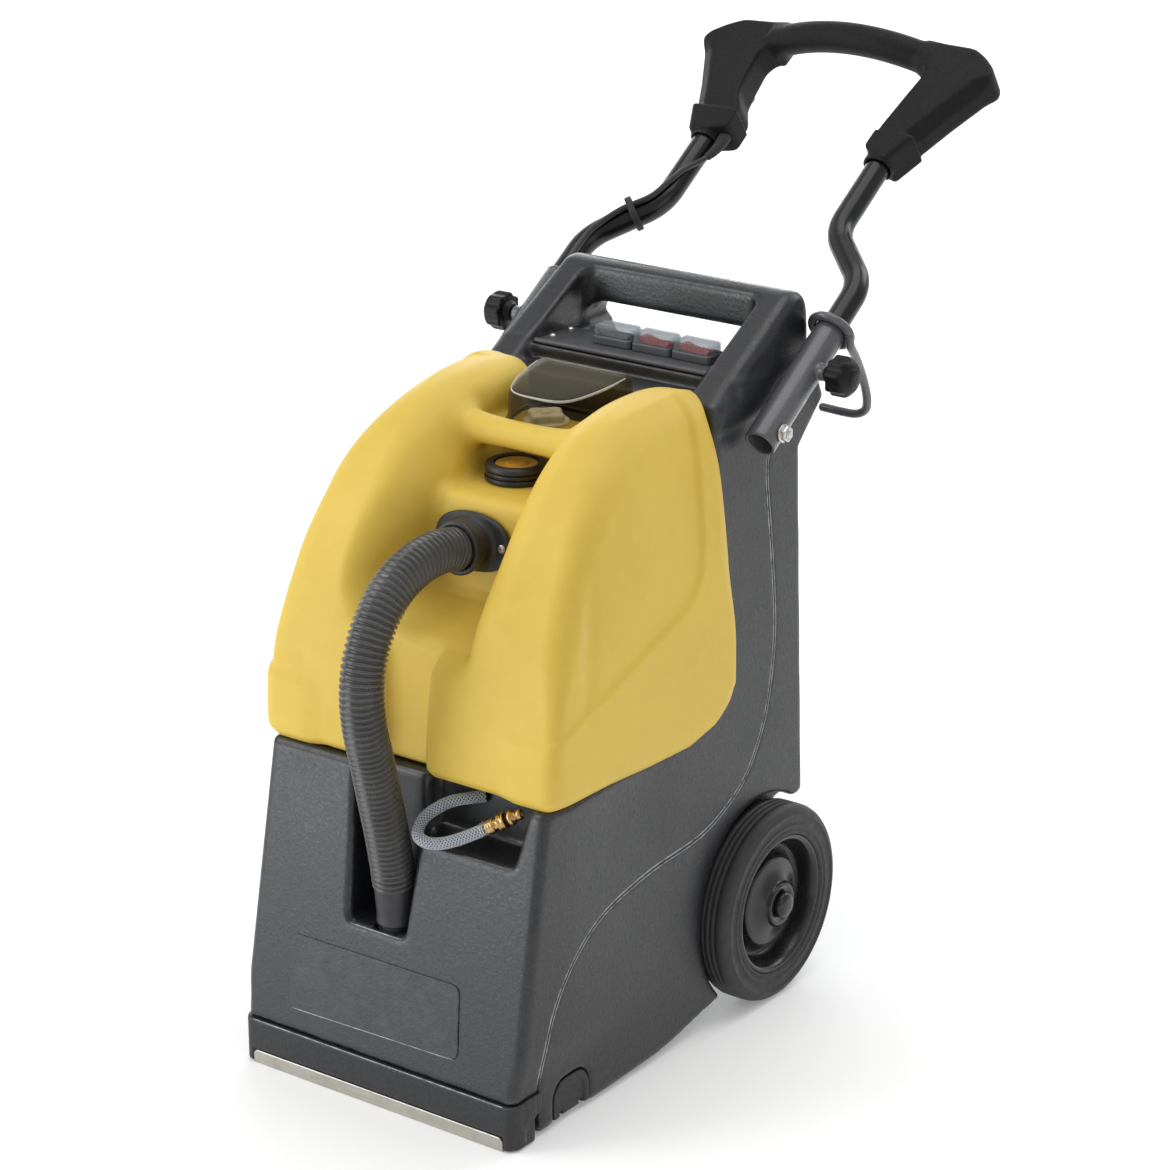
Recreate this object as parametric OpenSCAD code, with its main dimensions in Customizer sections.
// Compact self-contained spot extractor.
// Millimetres, +Z up, +X to the right seen from the front, -Y to the front.
// Modelled with y = 0 at the front face of the vacuum shoe, then moved back by
// y_mid so that the origin is on the floor under the middle of the machine.

/* [Housing] */
// Half width of the housings at the floor
body_hw = 163.5; // [161:0.5:165]
// Wall thickness of the moulded housings
wall = 4; // [3:0.5:4.5]
// Side taper, millimetres of half width per millimetre of height
taper = 0.036; // [0.034:0.001:0.038]

/* [Recovery tank] */
// Half width of the recovery tank at its widest
tank_hw = 166; // [162:0.5:168]
// Wall thickness of the recovery tank
tank_wall = 4; // [3:0.5:4.5]
// Gap between the recovery tank and its seat
seat_gap = 1.5; // [1:0.25:2.5]

/* [Wheels] */
// Wheel diameter
wheel_d = 203.2; // [200:0.4:204]
// Tyre width
tyre_w = 40; // [36:1:41]
// Axle diameter
axle_d = 16; // [14:1:18]

/* [Handle] */
// Angle of the handle above horizontal
handle_tilt = 34.25; // [33:0.25:36]
// Outside diameter of the handle tubes
tube_d = 25.4; // [25:0.1:26]
// Outside diameter of the sleeves the tubes slide in
sleeve_d = 32; // [31:0.5:33]
// Length of the sleeves
sleeve_l = 155; // [150:1:156]
// Diameter of the clamp knobs
knob_d = 40; // [36:1:42]

/* [Hoses] */
// Outside diameter of the recovery hose
hose_d = 42; // [40:1:43]
// Outside diameter of the braided solution hose
braid_d = 12; // [10:0.5:12.5]
// Outside diameter of the switch cable
cable_d = 6; // [5:0.5:6.5]

/* [Brush] */
// Brush diameter over the bristles
brush_d = 70; // [64:1:71]

/* [Hidden] */
$fn = 48;
y_mid = 418.35;
in = 0.05;                 // radial running clearance
axle_y = 418.5;
axle_z = wheel_d / 2;
sleeve_x = 164;
fold_y = 406; fold_z = 595;    // handle fold axis
hose_x = -5;
port = [-7, 47];
brush_y = 93.5; brush_z = 38;
motor_y = 186; motor_z = 76;
panel_z = 641;
// Middles of the three rocker switches, across the panel
switch_x = [-26, 21, 68];
pivot_s = 18; stud_s = 97; grip_s = 510;

// joint line between the two black housings, side view (y, z)
SEAM = [[41,48],[47,86],[66,130],[100,167],[147,190],[228,201],[312,207],[370,228],
        [401,253],[425,290],[438,330],[445,370],[446,410],[441,480],[436,540],[440,562],
        [470,592],[522,636]];
// top face that the recovery tank stands on, and the column front
SEAT = [[54.5,322],[86,318],[147,317],[211,313],[276,311],[318,321],[340,337],[348,357],
        [348,622],[376,626],[388,panel_z],[514,panel_z]];
SHELL_TOP = concat([[3.5,47]], SEAT, [for (i = [len(SEAM)-1:-1:0]) SEAM[i]]);
SHELL_LOW = concat([[44,6],[41,44]], SEAM, [[538,598],[494,553],[493,194],[470,186],[444,170],
        [444,72],[425,56],[380,38],[358,27],[310,20],[250,8],[150,6]]);
LEGS = [[359,626],[372,640],[484,701],[498,704],[514,698],[514,650],[519,638.5],[500,623],[380,600]];
// recovery tank, side view
TANK = [[60,326],[53,336],[57,380],[64,425],[76,470],[92,520],[112,562],[140,598],[180,630],
        [220,645],[260,649],[300,648],[330,643],[347,630],[347,358],[339,339],[317,323],
        [276,313],[211,315],[147,319],[86,320]];
// recovery tank, front view half widths (x, z)
TANK_F = [[158,300],[166,336],[164,400],[158,480],[150,540],[142,580],[132,610],[120,632],
        [104,646],[90,652]];
// centre lines of the hoses and of the switch cable
BRAID = [[72,83.5,307],[60,74,305],[44,66,300],[32,58,292],[25,50,284],[24,43,276],[29,37,271],
        [42,35,269],[58,38,272],[76,43,280],[92,48,289],[100,51,294]];
HOSE = [[-5,158,516],[-5,139,516.3],[-5,117,519.5],[-5,88,518],[-5,59,509],[-5,36,494],[-5,18,472],
        [-5,6,446],[-5,1,416],[-5,4,382],[-5,13,347],[-5,22,309],[-5,31,272],[-6,39,238],[-7,44,214]];
function hl(x,s,n) = [x, fold_y+(s-pivot_s)*cos(handle_tilt)-n*sin(handle_tilt), fold_z+(s-pivot_s)*sin(handle_tilt)+n*cos(handle_tilt)];
CABLE = [hl(-84,358,2), hl(-85,346,3), hl(-88,330,7), hl(-95,308,14), hl(-101,286,16.5), hl(-110,263,16.5),
        hl(-134,239,16.5), hl(-151,208,16), hl(-153.5,182,16), hl(-151.5,155,16.5), hl(-150,120,16.5),
        hl(-149,85,16.5), hl(-149.5,55,16.5), hl(-152.5,32,17), hl(-153,18,17.5), hl(-149,9,17.5),
        hl(-142,6.4,17.5), hl(-134,6,17.5)];

function cr(a,b,c,d,t) = 0.5*((2*b)+(c-a)*t+(2*a-5*b+4*c-d)*t*t+(-a+3*b-3*c+d)*t*t*t);
function path(P,n) = [for (i=[0:len(P)-2]) for (k=[0:n-1])
    cr(P[max(i-1,0)],P[i],P[i+1],P[min(i+2,len(P)-1)],k/n), P[len(P)-1]];
function unit(v) = v/norm(v);
function tang(Q,i) = unit(Q[min(i+1,len(Q)-1)]-Q[max(i-1,0)]);

// round tube or cord swept along points, capped at both ends
module sweep(P, r, n, sides, ref) {
    Q = path(P,n); m = len(Q);
    pts = [for (i=[0:m-1]) let (t=tang(Q,i), a=unit(ref-(ref*t)*t), b=cross(t,a))
        for (j=[0:sides-1]) Q[i]+r*(cos(360*j/sides)*a+sin(360*j/sides)*b)];
    side = [for (i=[0:m-2]) for (j=[0:sides-1]) let (k=(j+1)%sides)
        [i*sides+j, (i+1)*sides+j, (i+1)*sides+k, i*sides+k]];
    polyhedron(pts, concat([[for (j=[0:sides-1]) j]], side,
        [[for (j=[sides-1:-1:0]) (m-1)*sides+j]]), convexity=6);
}
module sidex(P, w) { rotate([90,0,90]) translate([0,0,-w/2]) linear_extrude(w) polygon(P); }
module sidex_in(P, w, d) { rotate([90,0,90]) translate([0,0,-w/2]) linear_extrude(w) offset(delta=-d) polygon(P); }
module slabx(P, x0, x1) { rotate([90,0,90]) translate([0,0,x0]) linear_extrude(x1-x0) polygon(P); }
module fronty(P, y0, y1) { translate([0,y1,0]) rotate([90,0,0]) linear_extrude(y1-y0) polygon(P); }
module xcyl(x0, x1, y, z, r) { translate([x0,y,z]) rotate([0,90,0]) cylinder(r=r, h=x1-x0); }
module ycyl(y0, y1, x, z, r) { translate([x,y0,z]) rotate([-90,0,0]) cylinder(r=r, h=y1-y0); }
module rod(a, b, r) { d = b-a; l = norm(d);
    translate(a) rotate([0, acos(d[2]/l), atan2(d[1],d[0])]) cylinder(r=r, h=l, $fn=64); }
module both() { children(); mirror([1,0,0]) children(); }
function hw(z) = body_hw - taper*z;
module side_taper(d) { fronty([[-hw(-5)+d,-5],[hw(-5)-d,-5],[hw(740)-d,740],[-hw(740)+d,740]], -40, 640); }
module at_handle() { translate([0, fold_y, fold_z]) rotate([handle_tilt,0,0]) translate([0,-pivot_s,0]) children(); }
module torus_arc(r_bend, ro, ri, a) { rotate_extrude(angle=a) translate([r_bend,0]) difference() { circle(ro); circle(ri); } }

// ---------- housings ----------
module wells(d) both() xcyl(139-d, 200, axle_y, axle_z, wheel_d/2+6+d);
module front_cuts(g) {
    fronty([[-50-g,168-g],[18+g,168-g],[24+g,262],[26+g,340],[-62-g,340]], -20, 72+g);   // hose slot
    fronty([[20-g,262-g],[130+g,262-g],[143+g,340],[20-g,340]], -20, 84+g);              // shelf recess
}
module duct_notch(g) rotate([90,0,90]) translate([0,0,port[0]-20-g]) linear_extrude(40+2*g)
    offset(delta=g) polygon([[9.5,30],[9.5,40],[28.7,164],[74,164],[74,110],[62,30]]);
module rear_scoop(g) slabx([[455-g,660],[455-g,634-g],[506,560-g],[560,560-g],[560,660]], -96-g, 96+g);
module body_top_outer() intersection() {
    sidex(SHELL_TOP, 340); side_taper(0);
    translate([0,3,47]) rotate([-10.6,0,0]) translate([0,0,-20]) linear_extrude(760) offset(r=26) translate([-body_hw+26,26]) square([2*body_hw-52,600]);
}
module solution_tank() color("#3a3c40") {
    difference() {
        union() {
            difference() {
                body_top_outer();
                difference() {
                    intersection() { sidex_in(SHELL_TOP, 400, wall); side_taper(wall); }
                    front_cuts(wall); duct_notch(wall); rear_scoop(wall);
                    translate([34,300,180]) cylinder(r=13, h=150);
                    translate([34,300,302]) cylinder(r=21, h=40);
                    both() xcyl(118, 150, fold_y, fold_z, 12);
                }
            }
            both() xcyl(136, 147.6, fold_y, fold_z, 10);
            // carry handle: two legs and the bar
            difference() {
                intersection() { sidex(LEGS, 340); side_taper(1.5); translate([0,300,panel_z-8]) translate([-170,0,0]) cube([340,300,100]); }
                fronty([[-105,600],[105,600],[105,654],[92,668],[-92,668],[-105,654]], 300, 600);
                translate([0,0,panel_z]) linear_extrude(120) polygon([[-105,300],[105,300],[105,466],[101,475],[91,480],[-91,480],[-101,475],[-105,466]]);
            }
        }
        front_cuts(0); duct_notch(0); rear_scoop(0);
        translate([34,300,180]) cylinder(r=10, h=150);
        translate([34,300,306]) cylinder(r=17, h=40);
        translate([port[0],port[1],150]) cylinder(r=18.3, h=30);
        both() xcyl(110, 200, fold_y, fold_z, 4+in);
        for (x=switch_x) translate([x-17,418,panel_z-12]) cube([34,17,30]);
        // hole for the cable gland
        xcyl(-155, -120, 386.4, 602.8, 6.25);
    }
}
module base_housing() color("#36383c") {
    difference() {
        intersection() { sidex(SHELL_LOW, 340); side_taper(0); }
        difference() {
            intersection() { sidex_in(SHELL_LOW, 400, wall); side_taper(wall); }
            wells(wall);
            sidex([[49.5,-5],[49.5,84],[134.5,84],[134.5,-5]], 400);
        }
        wells(0);
        sidex([[53,-5],[53,80],[130.5,80],[130.5,-5]], 312);
        translate([port[0]-20,9,60]) cube([40,40,112]);
        translate([port[0]-20,9,81.5]) cube([40,46,90.5]);
        translate([port[0]-19,30,42]) cube([38,17,20]);
        rear_scoop(0);
        slabx([[120,20],[120,77],[140,87],[140,20]], 116, 137);            // belt window
        both() slabx([[65,-5],[65,28],[78,44],[109,44],[122,28],[122,-5]], 150, 180);
        translate([-132,140,-5]) cube([264,212,38]);                       // floor opening
        xcyl(-170, 170, axle_y, axle_z, axle_d/2+in);
        translate([34,300,180]) cylinder(r=10, h=40);
        ycyl(470, 520, 0, 300, 9);
    }
}
module bottom_plate() color("#2c2d30") difference() {
    intersection() {
        sidex([[140.5,7],[250,8.5],[310,20.5],[351.5,26],[351.5,30],[309,24.5],[250,12.5],[140.5,11]], 263);
        translate([-140,100,0]) cube([280,300,60]);
    }
    for (x=[-120,120], y=[150,240]) translate([x,y,0]) cylinder(r=2.6, h=40);
    for (i=[-4:4]) translate([i*9-2, 285, 0]) cube([4, 50, 50]);           // cooling slots
}

// ---------- vacuum shoe ----------
module vacuum_shoe() color("#303236") difference() {
    union() {
        translate([0,0,1.5]) linear_extrude(45) polygon([[-158,0],[158,0],[164.5,9],[164.5,34],[150,34],[150,41],[-150,41],[-150,34],[-164.5,34],[-164.5,9]]);
    }
    fronty([[-150,-5],[150,-5],[150,24],[40,38],[-54,38],[-150,24]], 8.5, 20);      // suction channel
    translate([hose_x-2,27,26]) cylinder(r=15, h=30);
    translate([-152,-1,0]) cube([304,2.5,15]);                                     // rebate for the glide
    translate([-146,21,-1]) cube([292,16,24]);
    for (x=[-120,-60,60,120]) translate([x,30,20]) cylinder(r=2.6, h=40);
}
module glide_strip() color("#b8babd") {
    difference() {
        sidex([[0,0],[0,14],[1.5,14],[1.5,1.5],[8.5,1.5],[8.5,0]], 303);
        both() translate([157,0,16]) rotate([0,45,0]) cube([8,30,8], center=true);
    }
}
module shoe_duct() color("#2c2d30") difference() {
    union() {
        translate([port[0],port[1],138]) cylinder(r=18, h=29);
        rod([port[0],28.1,47.6], [port[0],46,142], 14);
        translate([port[0],27.4,46.6]) cylinder(r=15.8, h=4);
    }
    translate([port[0],port[1],142]) cylinder(r=16+in, h=40);
    rod([port[0],26.5,40], [port[0],46.6,148], 12);
}
module base_screws() color("silver") {
    for (x=[-120,-60,60,120]) translate([x,30,18.8]) { cylinder(r=2.5, h=26); cylinder(r=4.6, h=2.6); }
    for (x=[-120,120], y=[150,240]) translate([x,y,4.3+(y-150)*0.0137]) { cylinder(r=2.5, h=14); cylinder(r=4.6, h=2.6); }
}

// ---------- wheels ----------
module tyre() difference() {
    rotate([0,90,0]) rotate_extrude($fn=96) polygon([[72,0],[92,0],[97,1.5],[100.6,5],[wheel_d/2,11],[wheel_d/2,tyre_w-11],
        [100.6,tyre_w-5],[97,tyre_w-1.5],[92,tyre_w],[72,tyre_w]]);
    for (r=[79,86,93]) rotate([0,90,0]) translate([0,0,tyre_w-1]) difference() { cylinder(r=r+0.8, h=4); cylinder(r=r-0.8, h=9, center=true); }
}
module hub() rotate([0,90,0]) rotate_extrude($fn=96) polygon([[axle_d/2+0.08,-1.5],[17,-1.5],[20,8],[48,10],[66,4],[71.9,4],[71.9,tyre_w-3],[69,tyre_w-2],
        [66,tyre_w-6],[60,tyre_w-12],[44,tyre_w-16],[30,tyre_w-14],[20,tyre_w-6],[15,tyre_w-1],[axle_d/2+0.08,tyre_w-1]]);
module left_tyre() color("#232427") mirror([1,0,0]) translate([143,axle_y,axle_z]) tyre();
module right_tyre() color("#232427") translate([143,axle_y,axle_z]) tyre();
module left_hub() color("#2b2c2f") mirror([1,0,0]) translate([143,axle_y,axle_z]) hub();
module right_hub() color("#2b2c2f") translate([143,axle_y,axle_z]) hub();
module wheel_caps() color("#1f2022") both() translate([182.4,axle_y,axle_z]) rotate([0,90,0]) difference() {
    rotate_extrude() polygon([[0,0],[13.5,0],[13.5,4],[11,7.5],[0,8.5]]);
    translate([0,0,-1]) cylinder(r=axle_d/2, h=6.6); }
module axle() color("#9a9ca0") xcyl(-187, 187, axle_y, axle_z, axle_d/2);
module axle_brackets() color("#8c8e92") both() difference() {
    slabx([[392,78],[392,170],[439,170],[439,78]], 130, 134.8);
    xcyl(120, 140, axle_y, axle_z, axle_d/2+in); }

// ---------- motors, pump, brush ----------
module vacuum_motor() color("#8f9296") difference() {
    union() {
        translate([0,312,43]) cylinder(r=58, h=37);
        translate([0,312,80]) cylinder(r=50, h=62);
        translate([0,312,142]) cylinder(r=66, h=34);
        translate([34,300,176]) cylinder(r=14, h=24.4);
    }
    translate([34,300,160]) cylinder(r=10, h=60);
    for (a=[0:45:315]) translate([0,312,0]) rotate([0,0,a]) translate([44,-4,92]) cube([12,8,40]);
}
module brush_motor() color("#6d7074") union() {
    xcyl(-44, 96, motor_y, motor_z, 38);
    xcyl(96, 104, motor_y, motor_z, 31);
    xcyl(104, 135, motor_y, motor_z, 6);
    translate([-30, motor_y-30, 33.5]) cube([110, 60, 14]);
}
module motor_pulley() color("#a2a4a7") translate([119,motor_y,motor_z]) rotate([0,90,0]) difference() {
    rotate_extrude() polygon([[6+in,0],[17,0],[17,1.5],[15,3],[15,11],[17,12.5],[17,14],[6+in,14]]); }
module brush_pulley() color("#a2a4a7") translate([119,brush_y,brush_z]) rotate([0,90,0])
    rotate_extrude() polygon([[6.02,0],[22,0],[22,1.5],[20,3],[20,11],[22,12.5],[22,14],[6.02,14]]);
module drive_belt() color("#17181a") {
    dy = motor_y-brush_y; dz = motor_z-brush_z; L = sqrt(dy*dy+dz*dz); a = atan2(dz,dy);
    translate([122.3,brush_y,brush_z]) rotate([a,0,0]) rotate([90,0,90]) linear_extrude(7.4) difference() {
        polygon(belt2d(22.4,17.4,L)); polygon(belt2d(20.35,15.35,L)); }
}
function belt2d(R,r,L) = let (s=asin((R-r)/L)) concat(
    [for (k=[0:12]) let (a=90-s+ (180+2*s)*k/12) [R*cos(a), R*sin(a)]],
    [for (k=[0:12]) let (a=-90+s+ (180-2*s)*k/12) [L+r*cos(a), r*sin(a)]]);
module brush_core() color("#3b3d41") { xcyl(-116, 116, brush_y, brush_z, 15); xcyl(-154, -116, brush_y, brush_z, 6); xcyl(116, 154, brush_y, brush_z, 6); }
module brush_bristles() color("#d9d9d4") difference() {
    xcyl(-113, 113, brush_y, brush_z, brush_d/2);
    xcyl(-120, 120, brush_y, brush_z, 15.02);
}
module brush_end_plates() color("#303236") both() difference() {
    union() {
        intersection() { slabx([[66,7],[66,28],[78.5,43],[108.5,43],[121,28],[121,7]], 154.5, 170); side_taper(0); }
        xcyl(148, 155.8, brush_y, brush_z, 13);
    }
    xcyl(140, 155.5, brush_y, brush_z, 6+in);
}
module pump() color("#2f3134") union() {
    translate([-128,158,36]) cube([54,52,60]);
    translate([-101,184,96]) cylinder(r=22, h=44);
    ycyl(146, 158, -101, 76, 7);
    ycyl(210, 222, -101, 76, 7);
}
module spray_manifold() color("#c9a24a") difference() {
    union() { xcyl(-96, 96, 122, 74, 4.5); for (x=[-70,0,70]) translate([x,122,67]) cylinder(r=3, h=8); }
    for (x=[-70,0,70]) translate([x,122,60]) cylinder(r=0.8, h=12);
}

// ---------- panel and switches ----------
module control_panel() color("#2a2b2e") difference() {
    sidex([[390,panel_z],[390,panel_z+4],[393,panel_z+5],[396,panel_z+3],[453,panel_z+3],[453,panel_z]], 206);
    for (x=switch_x) translate([x-17,418,panel_z-5]) cube([34,17,30]);
    both() translate([97,414,panel_z-5]) cylinder(r=2.2, h=20);
    both() translate([97,444,panel_z-5]) cylinder(r=2.2, h=20);
}
module panel_screws() color("silver") both() for (y=[414,444]) translate([97,y,panel_z+3]) {
    difference() { intersection() { cylinder(r=4, h=2.4); translate([0,0,-4.2]) sphere(r=6.4); } translate([-0.6,-2.6,1.2]) cube([1.2,5.2,3]); translate([-2.6,-0.6,1.2]) cube([5.2,1.2,3]); }
    translate([0,0,-3]) cylinder(r=2.15, h=3.1); }
module switch_bases() color("#1b1c1e") for (x=switch_x) difference() {
    translate([x-23,413.5,panel_z+3]) cube([46,26,9]);
    translate([x-18.6,417.2,panel_z]) cube([37.2,18.6,20]);
    ycyl(413.6, 439.4, x, panel_z+9, 1.25);
}
module rocker(x, c) color(c) translate([x,426.5,panel_z+9]) rotate([0,7,0])
{
    fronty([[-16.6,-0.5],[-16.6,3.6],[-9,2],[0,1.4],[9,2],[16.6,3.6],[16.6,-0.5],[9,-4.6],[-9,-4.6]], -8.2, 8.2);
    ycyl(-10.8, 10.8, 0, 0, 1.2);
}
module pump_rocker() rocker(switch_x[0], "#8d9093");
module brush_rocker() rocker(switch_x[1], "#c4242b");
module vacuum_rocker() rocker(switch_x[2], "#c4242b");
module switch_boots() color([0.85,0.87,0.88,0.5]) for (x=switch_x) translate([x,426.5,panel_z+12]) difference() {
    translate([-21.5,-11.5,0]) cube([43,23,10.5]);
    translate([-20.3,-10.3,-1]) cube([40.6,20.6,10.3]);
}

// ---------- recovery tank ----------
module tank_recess(g) {
    // between the cheeks: cap shelf and dome deck
    translate([-58-g,170-g,552-g]) cube([116+2*g,78+2*g,140]);
    translate([-58-g,170-g,552-g]) cube([116+2*g,99.5+2*g,38+2*g]);
    translate([-61-g,248-g,598-g]) cube([122+2*g,130,100]);
    // open front for the hose, narrowing to a channel below
    intersection() {
        fronty([[58+g,700],[58+g,470-g],[40+g,462-g],[22+g,452-g],[22+g,290],[-50-g,290],[-50-g,425-g],[-75-g,438-g],
            [-98-g,453-g],[-104-g,480],[-92-g,520],[-72-g,560],[-58-g,600],[-58-g,700]], -20, 260);
        slabx([[-20,290],[84+g,290],[86+g,438-g],[104+g,447-g],[150+g,454-g],[170+g,464-g],[170+g,700],[-20,700]], -200, 200);
    }
}
module tank_form(d) {
    F = [for (p=TANK_F) [p[0]*tank_hw/166-d,p[1]]];
    intersection() {
        sidex_in(TANK, 400, d);
        fronty(concat(F, [for (i=[len(F)-1:-1:0]) [-F[i][0],F[i][1]]]), -20, 400);
        translate([0,0,290]) linear_extrude(400) offset(r=34-d) translate([-tank_hw+34,53+34]) square([2*tank_hw-68,400]);
    }
}
module recovery_tank() color("#e0b82c") difference() {
    union() {
        difference() {
            tank_form(0);
            difference() { tank_form(tank_wall); tank_recess(tank_wall); translate([34,300,300]) cylinder(r=15, h=40); }
        }
        xcyl(-61, 61, 236, 607, 14);
        translate([-8,238,540]) cylinder(r=27, h=18);
        translate([34,300,314]) cylinder(r=15, h=14);
    }
    difference() { tank_recess(0);
        xcyl(-70, 70, 236, 607, 14);
        translate([-8,238,540]) cylinder(r=27,h=18); }
    translate([-8,238,500]) cylinder(r=23, h=80);
    translate([-12,290,545]) cylinder(r=15.9, h=80);
    translate([34,300,560]) cylinder(r=9.6, h=60);
    translate([34,300,300]) cylinder(r=9.6, h=60);
    ycyl(150, 190, hose_x, 516, 19.5);
    for (s=[-1,1]) ycyl(160, 190, hose_x+35.5*s, 516, 2.6);
}
module vacuum_pipe() color("#3a3b3e") translate([34,300,314]) difference() { cylinder(r=9.5, h=292); translate([0,0,-1]) cylinder(r=8, h=300); }
module vacuum_seal() color("#1d1e20") translate([34,300,306]) difference() { cylinder(r=16.8, h=7.4); translate([0,0,-1]) cylinder(r=10, h=10); }
module dome2d(o) offset(r=o) polygon([[-58,344],[58,344],[50,300],[36,262],[22,254],[-22,254],[-36,262],[-50,300]]);
module dome_prism(o, z0, z1, z2) intersection() {
    translate([0,0,z0]) linear_extrude(80) dome2d(o);
    slabx([[240,z0],[240,z1],[360,z2],[360,z0]], -80, 80); }
module dome_lid() color([0.55,0.52,0.45,0.45]) difference() {
    union() { dome_prism(0, 601.5, 632, 651); dome_prism(2.2, 601.5, 604.5, 604.5); }
    dome_prism(-2.6, 590, 629.4, 648.4);
}
module dome_gasket() color("#26272a") difference() { dome_prism(1.8, 598, 601.4, 601.4); dome_prism(-2.8, 590, 620, 620); }
module float_cage() color("#e8e6e0") translate([-12,290,0]) difference() {
    union() { translate([0,0,545]) cylinder(r=15.5, h=53); translate([0,0,598.1]) cylinder(r=23, h=5);
        for (a=[0:90:270]) rotate([0,0,a]) translate([11,0,603]) cylinder(r=9.5, h=7); translate([0,0,603]) cylinder(r=12, h=6); }
    translate([0,0,547]) cylinder(r=13.3, h=50);
    for (a=[0:60:300]) rotate([0,0,a]) translate([8,-4,551]) cube([20,8,38]);
}
module float_ball() color("#f2f1ec") translate([-12,290,559.6]) sphere(r=12.4, $fn=40);
module tank_cap() color("#222326") translate([-8,238,558.2]) {
    difference() {
        union() { cylinder(r=31, h=6); translate([0,0,6]) cylinder(r=29.5, h=5); translate([0,0,11]) cylinder(r=31, h=4); translate([0,0,15]) cylinder(r1=31, r2=27, h=2.5); }
        translate([0,0,12]) cylinder(r=21, h=12);
        translate([0,0,-1]) cylinder(r=25, h=9);
    }
    translate([0,0,-9]) difference() { cylinder(r=22.6, h=18); translate([0,0,-1]) cylinder(r=20, h=18); }
}
module cap_insert() color("#d79a2b") translate([-8,238,570.3]) cylinder(r=20.9, h=3.4);
module hose_flange() color("#26272a") difference() {
    union() {
        translate([hose_x,169.9,516]) rotate([90,0,0]) linear_extrude(6) oval2d(43,29);
        translate([hose_x,170,516]) rotate([90,0,0]) cylinder(r=25, h=30);
        ycyl(168, 184, hose_x, 516, 19.4);
    }
    ycyl(120, 200, hose_x, 516, 17);
    ycyl(120, 158, hose_x, 516, hose_d/2+0.1);
    for (s=[-1,1]) ycyl(150, 200, hose_x+35.5*s, 516, 2.6);
}
module oval2d(a,b) { polygon([for (t=[0:6:354]) [a*cos(t)*(1-0.06*pow(sin(2*t),2)), b*sin(t)*(1+0.02*pow(sin(2*t),2))]]); }
module flange_screws() color("silver") for (s=[-1,1]) { ycyl(163.9, 180, hose_x+35.5*s, 516, 2.5); ycyl(161, 163.9, hose_x+35.5*s, 516, 5); }
module vacuum_hose() color("#202124") sweep(HOSE, hose_d/2, 2, 12, [1,0,0]);
module hose_cuff() color("#26272a") difference() {
    union() {
        rod([-7,44.2,213], [port[0],port[1]-0.3,181], 18.4);
        translate([port[0],port[1],168]) cylinder(r=20, h=20);
        translate([port[0],port[1],146]) cylinder(r=16, h=24);
    }
    translate([port[0],port[1],140]) cylinder(r=13.5, h=42);
}

// ---------- solution hose ----------
module solution_hose() color("#cfd3d6") sweep(BRAID, braid_d/2, 4, 10, [0.25,-0.6,0.76]);
COUP = [[100,51,294],[132,62.5,313]];
module along(a, b) { d=b-a; l=norm(d); translate(a) rotate([0, acos(d[2]/l), atan2(d[1],d[0])]) children(); }
module quick_coupler() color("#b98a3c") along(COUP[0],COUP[1]) difference() { union() {
    cylinder(r=6.8, h=5, $fn=6); translate([0,0,5]) cylinder(r=4.8, h=8); translate([0,0,5]) cylinder(r=7.2, h=3); translate([0,0,23]) cylinder(r=7, h=3); translate([0,0,13]) cylinder(r=5.4, h=10); translate([0,0,26]) cylinder(r=5, h=9); }
    translate([0,0,24]) cylinder(r=3, h=20); }
module coupler_sleeve() color("#b07c33") along(COUP[0],COUP[1]) translate([0,0,12]) difference() {
    union() { cylinder(r=7.4, h=7); cylinder(r=8.4, h=1.5); translate([0,0,5.5]) cylinder(r=8.4, h=1.5); }
    translate([0,0,-1]) cylinder(r=5.4+0.08, h=12); }
module cable_glands() color("#1d1e20") {
    difference() {
        union() { ycyl(493.6, 498, 0, 300, 16); ycyl(476, 493.6, 0, 300, 8.8); ycyl(498, 512, 0, 300, 11); }
        ycyl(500, 520, 0, 300, 4.5); }
    difference() { xcyl(-145.5, -139, 386.4, 602.8, 6.2); xcyl(-160, -130, 386.4, 602.8, 4.7); }
}

// ---------- handle ----------
module sleeve() difference() {
    union() {
        translate([sleeve_x,0,0]) rotate([-90,0,0]) cylinder(r=sleeve_d/2, h=sleeve_l, $fn=64);
        translate([sleeve_x+tube_d/2,stud_s,0]) rotate([0,90,0]) cylinder(r=8, h=10.5);
    }
    translate([sleeve_x,-5,0]) rotate([-90,0,0]) cylinder(r=tube_d/2+0.1, h=sleeve_l+10, $fn=64);
    translate([sleeve_x-30,pivot_s,0]) rotate([0,90,0]) cylinder(r=4+in, h=60);
    translate([sleeve_x,stud_s,0]) rotate([0,90,0]) cylinder(r=4+in, h=40);
}
module right_sleeve() color("#26272b") at_handle() sleeve();
module left_sleeve() color("#26272b") at_handle() mirror([1,0,0]) sleeve();
module pivot_bolts() color("#b5b7ba") both() {
    xcyl(120, 187, fold_y, fold_z, 4);
    xcyl(sleeve_x+sleeve_d/2+0.4, sleeve_x+sleeve_d/2+2.2, fold_y, fold_z, 9);
    translate([sleeve_x+sleeve_d/2+2.2,fold_y,fold_z]) rotate([0,90,0]) cylinder(r=7.5, h=5.5, $fn=6);
}
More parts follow.
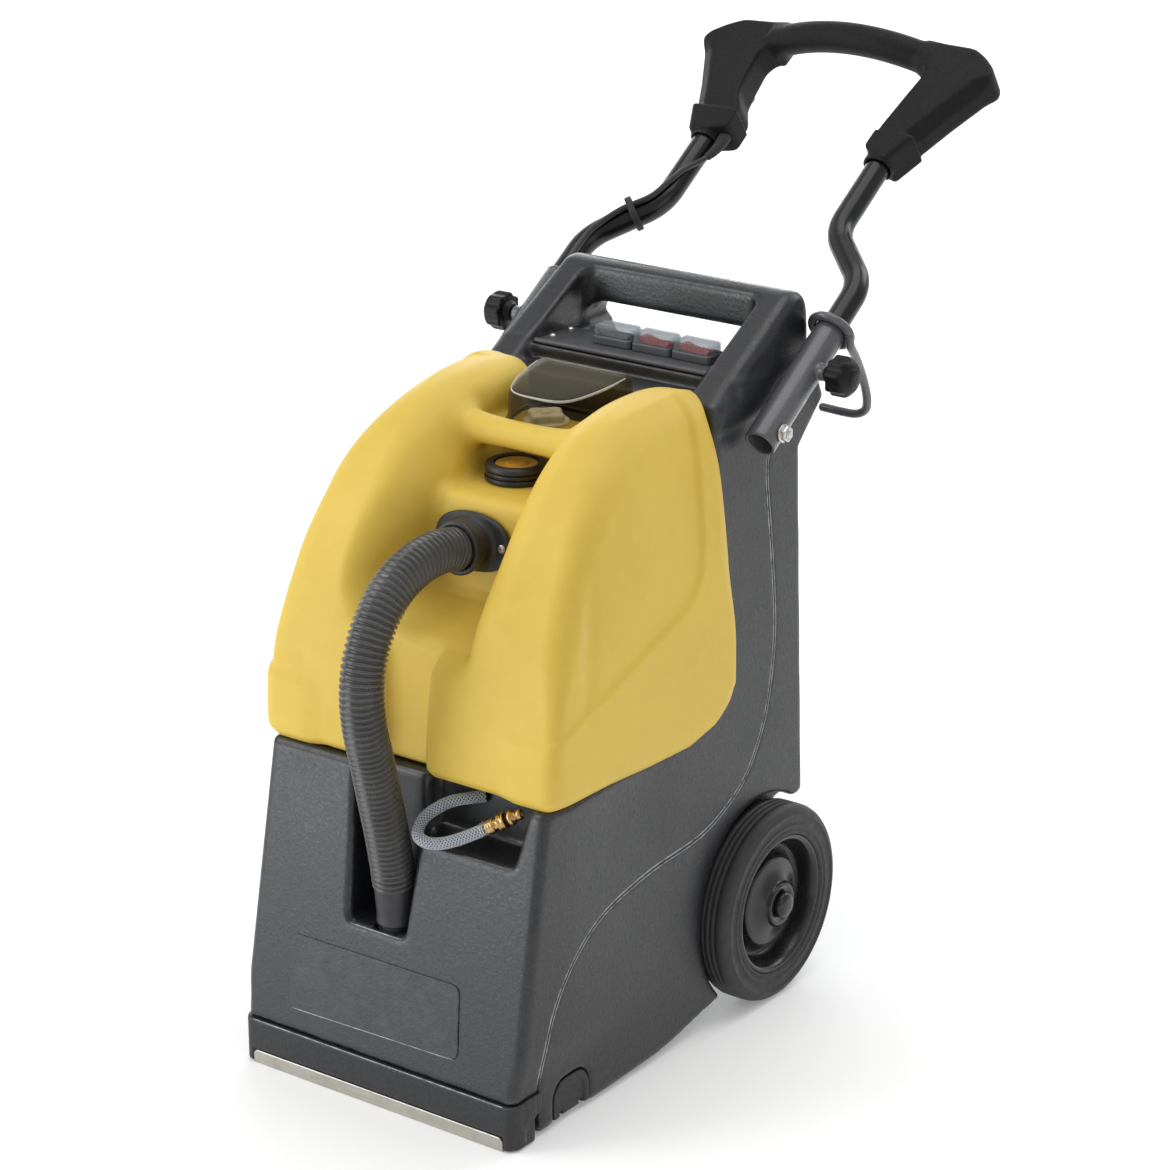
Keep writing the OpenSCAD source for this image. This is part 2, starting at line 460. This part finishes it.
module knob() translate([0,stud_s,0]) {
    translate([sleeve_x+tube_d/2+0.3,0,0]) rotate([0,90,0]) cylinder(r=4, h=22);
    translate([sleeve_x+24.5,0,0]) rotate([0,90,0]) cylinder(r1=9, r2=12, h=7);
    translate([sleeve_x+31,0,0]) rotate([0,90,0]) intersection() {
        rotate_extrude() polygon([[0,0],[knob_d/2-2,0],[knob_d/2,3],[knob_d/2,16],[knob_d/2-4,21],[knob_d/2-9,24],[0,25]]);
        linear_extrude(30) polygon([for (a=[0:5:355]) let (r=knob_d/2-1+1.0*cos(8*a)) [r*cos(a), r*sin(a)]]);
    }
}
module right_knob() color("#202124") at_handle() knob();
module left_knob() color("#202124") at_handle() mirror([1,0,0]) knob();
// straight, 45 degree bend in, short straight, bend back, straight
bend_r = 50; bend_l = 42;
bend_x = sleeve_x-bend_r+bend_r*cos(45)-bend_l*sin(45);    // end of the short straight
bend_y = 190+bend_r*sin(45)+bend_l*cos(45);
grip_x = bend_x+bend_r*cos(45)-bend_r;
BEND = concat([[sleeve_x,186,0]],
    [for (a=[0:7.5:45]) [sleeve_x-bend_r+bend_r*cos(a), 190+bend_r*sin(a), 0]],
    [for (a=[45:-7.5:0]) [bend_x+bend_r*cos(45)-bend_r*cos(a), bend_y+bend_r*sin(45)-bend_r*sin(a), 0]],
    [[grip_x, bend_y+bend_r*sin(45)+4, 0]]);
module pipe_sweep(Q, ro, ri, sides) {
    m = len(Q);
    function ring(r) = [for (i=[0:m-1]) let (t=tang(Q,i), b=cross(t,[0,0,1]))
        for (j=[0:sides-1]) Q[i]+r*(cos(360*j/sides)*[0,0,1]+sin(360*j/sides)*b)];
    o = m*sides;
    polyhedron(concat(ring(ro), ring(ri)), concat(
        [for (i=[0:m-2]) for (j=[0:sides-1]) let (k=(j+1)%sides) [i*sides+j, (i+1)*sides+j, (i+1)*sides+k, i*sides+k]],
        [for (i=[0:m-2]) for (j=[0:sides-1]) let (k=(j+1)%sides) [o+i*sides+k, o+(i+1)*sides+k, o+(i+1)*sides+j, o+i*sides+j]],
        [for (j=[0:sides-1]) let (k=(j+1)%sides) [j, k, o+k, o+j]],
        [for (j=[0:sides-1]) let (k=(j+1)%sides, e=(m-1)*sides) [e+k, e+j, o+e+j, o+e+k]]), convexity=6);
}
module bend_tube() {
    ro = tube_d/2; ri = ro-1.6;
    translate([sleeve_x,38,0]) rotate([-90,0,0]) difference() { cylinder(r=ro, h=152); translate([0,0,-1]) cylinder(r=ri, h=160); }
    pipe_sweep(BEND, ro-0.02, ri+0.12, 32);
    translate([grip_x,bend_y+bend_r*sin(45),0]) rotate([-90,0,0]) difference() { cylinder(r=ro, h=408-bend_y-bend_r*sin(45)); translate([0,0,-1]) cylinder(r=ri, h=200); }
}
module right_tube() color("#25262a") at_handle() bend_tube();
module left_tube() color("#25262a") at_handle() mirror([1,0,0]) bend_tube();
// outer edge of a grip, then the inner edges; the left one is wider where the cable enters
GRIP_OUT = [[119,362.5],[133,396],[149,434],[170,478],[176,489],[172,501],[156,515],[140,524],[60,528],[60,494]];
GRIP_IN_R = [[95,494],[101,480],[95.5,440],[90.5,400],[89.5,371.5]];
GRIP_IN_L = [[93,494],[99,480],[96,450],[92,424],[79,402],[78,372]];
module blade(P) difference() {
    translate([0,0,-18]) linear_extrude(36) polygon(P);
    translate([0,0,-20]) linear_extrude(60) translate([0,470]) square([84,100]);
    translate([grip_x,340,0]) rotate([-90,0,0]) cylinder(r=tube_d/2+0.02, h=70);
}
module handle_grip() color("#232427") at_handle() {
    blade(concat(GRIP_OUT, GRIP_IN_R));
    mirror([1,0,0]) blade(concat(GRIP_OUT, GRIP_IN_L));
    // bowed bar between the two grips
    R = 236; a = 2*asin(93/R);
    translate([0,grip_s,22-R]) rotate([90,0,0]) rotate([0,0,90-a/2]) rotate_extrude(angle=a, $fn=96) translate([R,0]) circle(r=16.5, $fn=48);
    // ears and pin of the spray trigger, under the left grip
    for (x=[-118-9.8,-118+7.3]) translate([x,394,-30]) cube([2.5,12,13]);
    translate([-127.8,400,-25]) rotate([0,90,0]) cylinder(r=2, h=19.6);
}
module spray_trigger() color("#1c1d1f") at_handle() translate([-118,400,-25]) difference() {
    slabx([[-4,3],[0,4],[4,3],[30,-1],[58,-4],[62,-6],[62,-12],[56,-12],[30,-8],[4,-4],[0,-4.5],[-4,-3]], -7, 7);
    xcyl(-10, 10, 0, 0, 2+in);
}
module cable_fittings() color("#1d1e20") at_handle() {
    difference() { translate([-84,352,2]) rotate([-90,0,0]) cylinder(r1=4.9, r2=6.2, h=17); translate([-84,350,2]) rotate([-90,0,0]) cylinder(r=3.9, h=9); }
    difference() {
        translate([-126.8,248,0]) rotate([0,0,-45]) translate([0,-3.5,3.3]) rotate([-90,0,0]) cylinder(r=18.6, h=7);
        translate([-126.8,248,0]) rotate([0,0,-45]) translate([0,-5,0]) rotate([-90,0,0]) cylinder(r=13, h=10);
        translate([-126.8,248,0]) rotate([0,0,-45]) translate([1.3,-5,16.5]) rotate([-90,0,0]) cylinder(r=3.5, h=10);
    }
}
module switch_cable() color("#1a1b1d") sweep(CABLE, cable_d/2, 2, 8, [1,0.2,-1]);
HOOK = [[184.6,513.8,668],[183.5,518,656],[179.5,535,640],[175,552,622],[172,566,602],[170,574,586],[166,578,574],[156,578,568],[140,578,567],[112,578,568]];
module cord_hook() color("#1b1c1e") {
    at_handle() translate([sleeve_x,149,0]) rotate([-90,0,0]) rotate_extrude() translate([20.55,0]) circle(r=4.5);
    sweep(HOOK, 4.5, 3, 12, [0.2,1,0.3]);
}

module place() translate([0,-y_mid,0]) children();
place() base_housing();
place() solution_tank();
place() bottom_plate();
place() base_screws();
place() vacuum_shoe();
place() glide_strip();
place() shoe_duct();
place() axle();
place() axle_brackets();
place() left_tyre();
place() left_hub();
place() right_tyre();
place() right_hub();
place() wheel_caps();
place() vacuum_motor();
place() pump();
place() brush_motor();
place() motor_pulley();
place() drive_belt();
place() brush_core();
place() brush_bristles();
place() brush_pulley();
place() brush_end_plates();
place() spray_manifold();
place() control_panel();
place() panel_screws();
place() switch_bases();
place() pump_rocker();
place() brush_rocker();
place() vacuum_rocker();
place() switch_boots();
place() recovery_tank();
place() vacuum_pipe();
place() vacuum_seal();
place() dome_lid();
place() dome_gasket();
place() float_cage();
place() float_ball();
place() tank_cap();
place() cap_insert();
place() hose_flange();
place() flange_screws();
place() vacuum_hose();
place() hose_cuff();
place() solution_hose();
place() quick_coupler();
place() coupler_sleeve();
place() cable_glands();
place() left_sleeve();
place() right_sleeve();
place() pivot_bolts();
place() left_knob();
place() right_knob();
place() left_tube();
place() right_tube();
place() handle_grip();
place() spray_trigger();
place() cable_fittings();
place() switch_cable();
place() cord_hook();
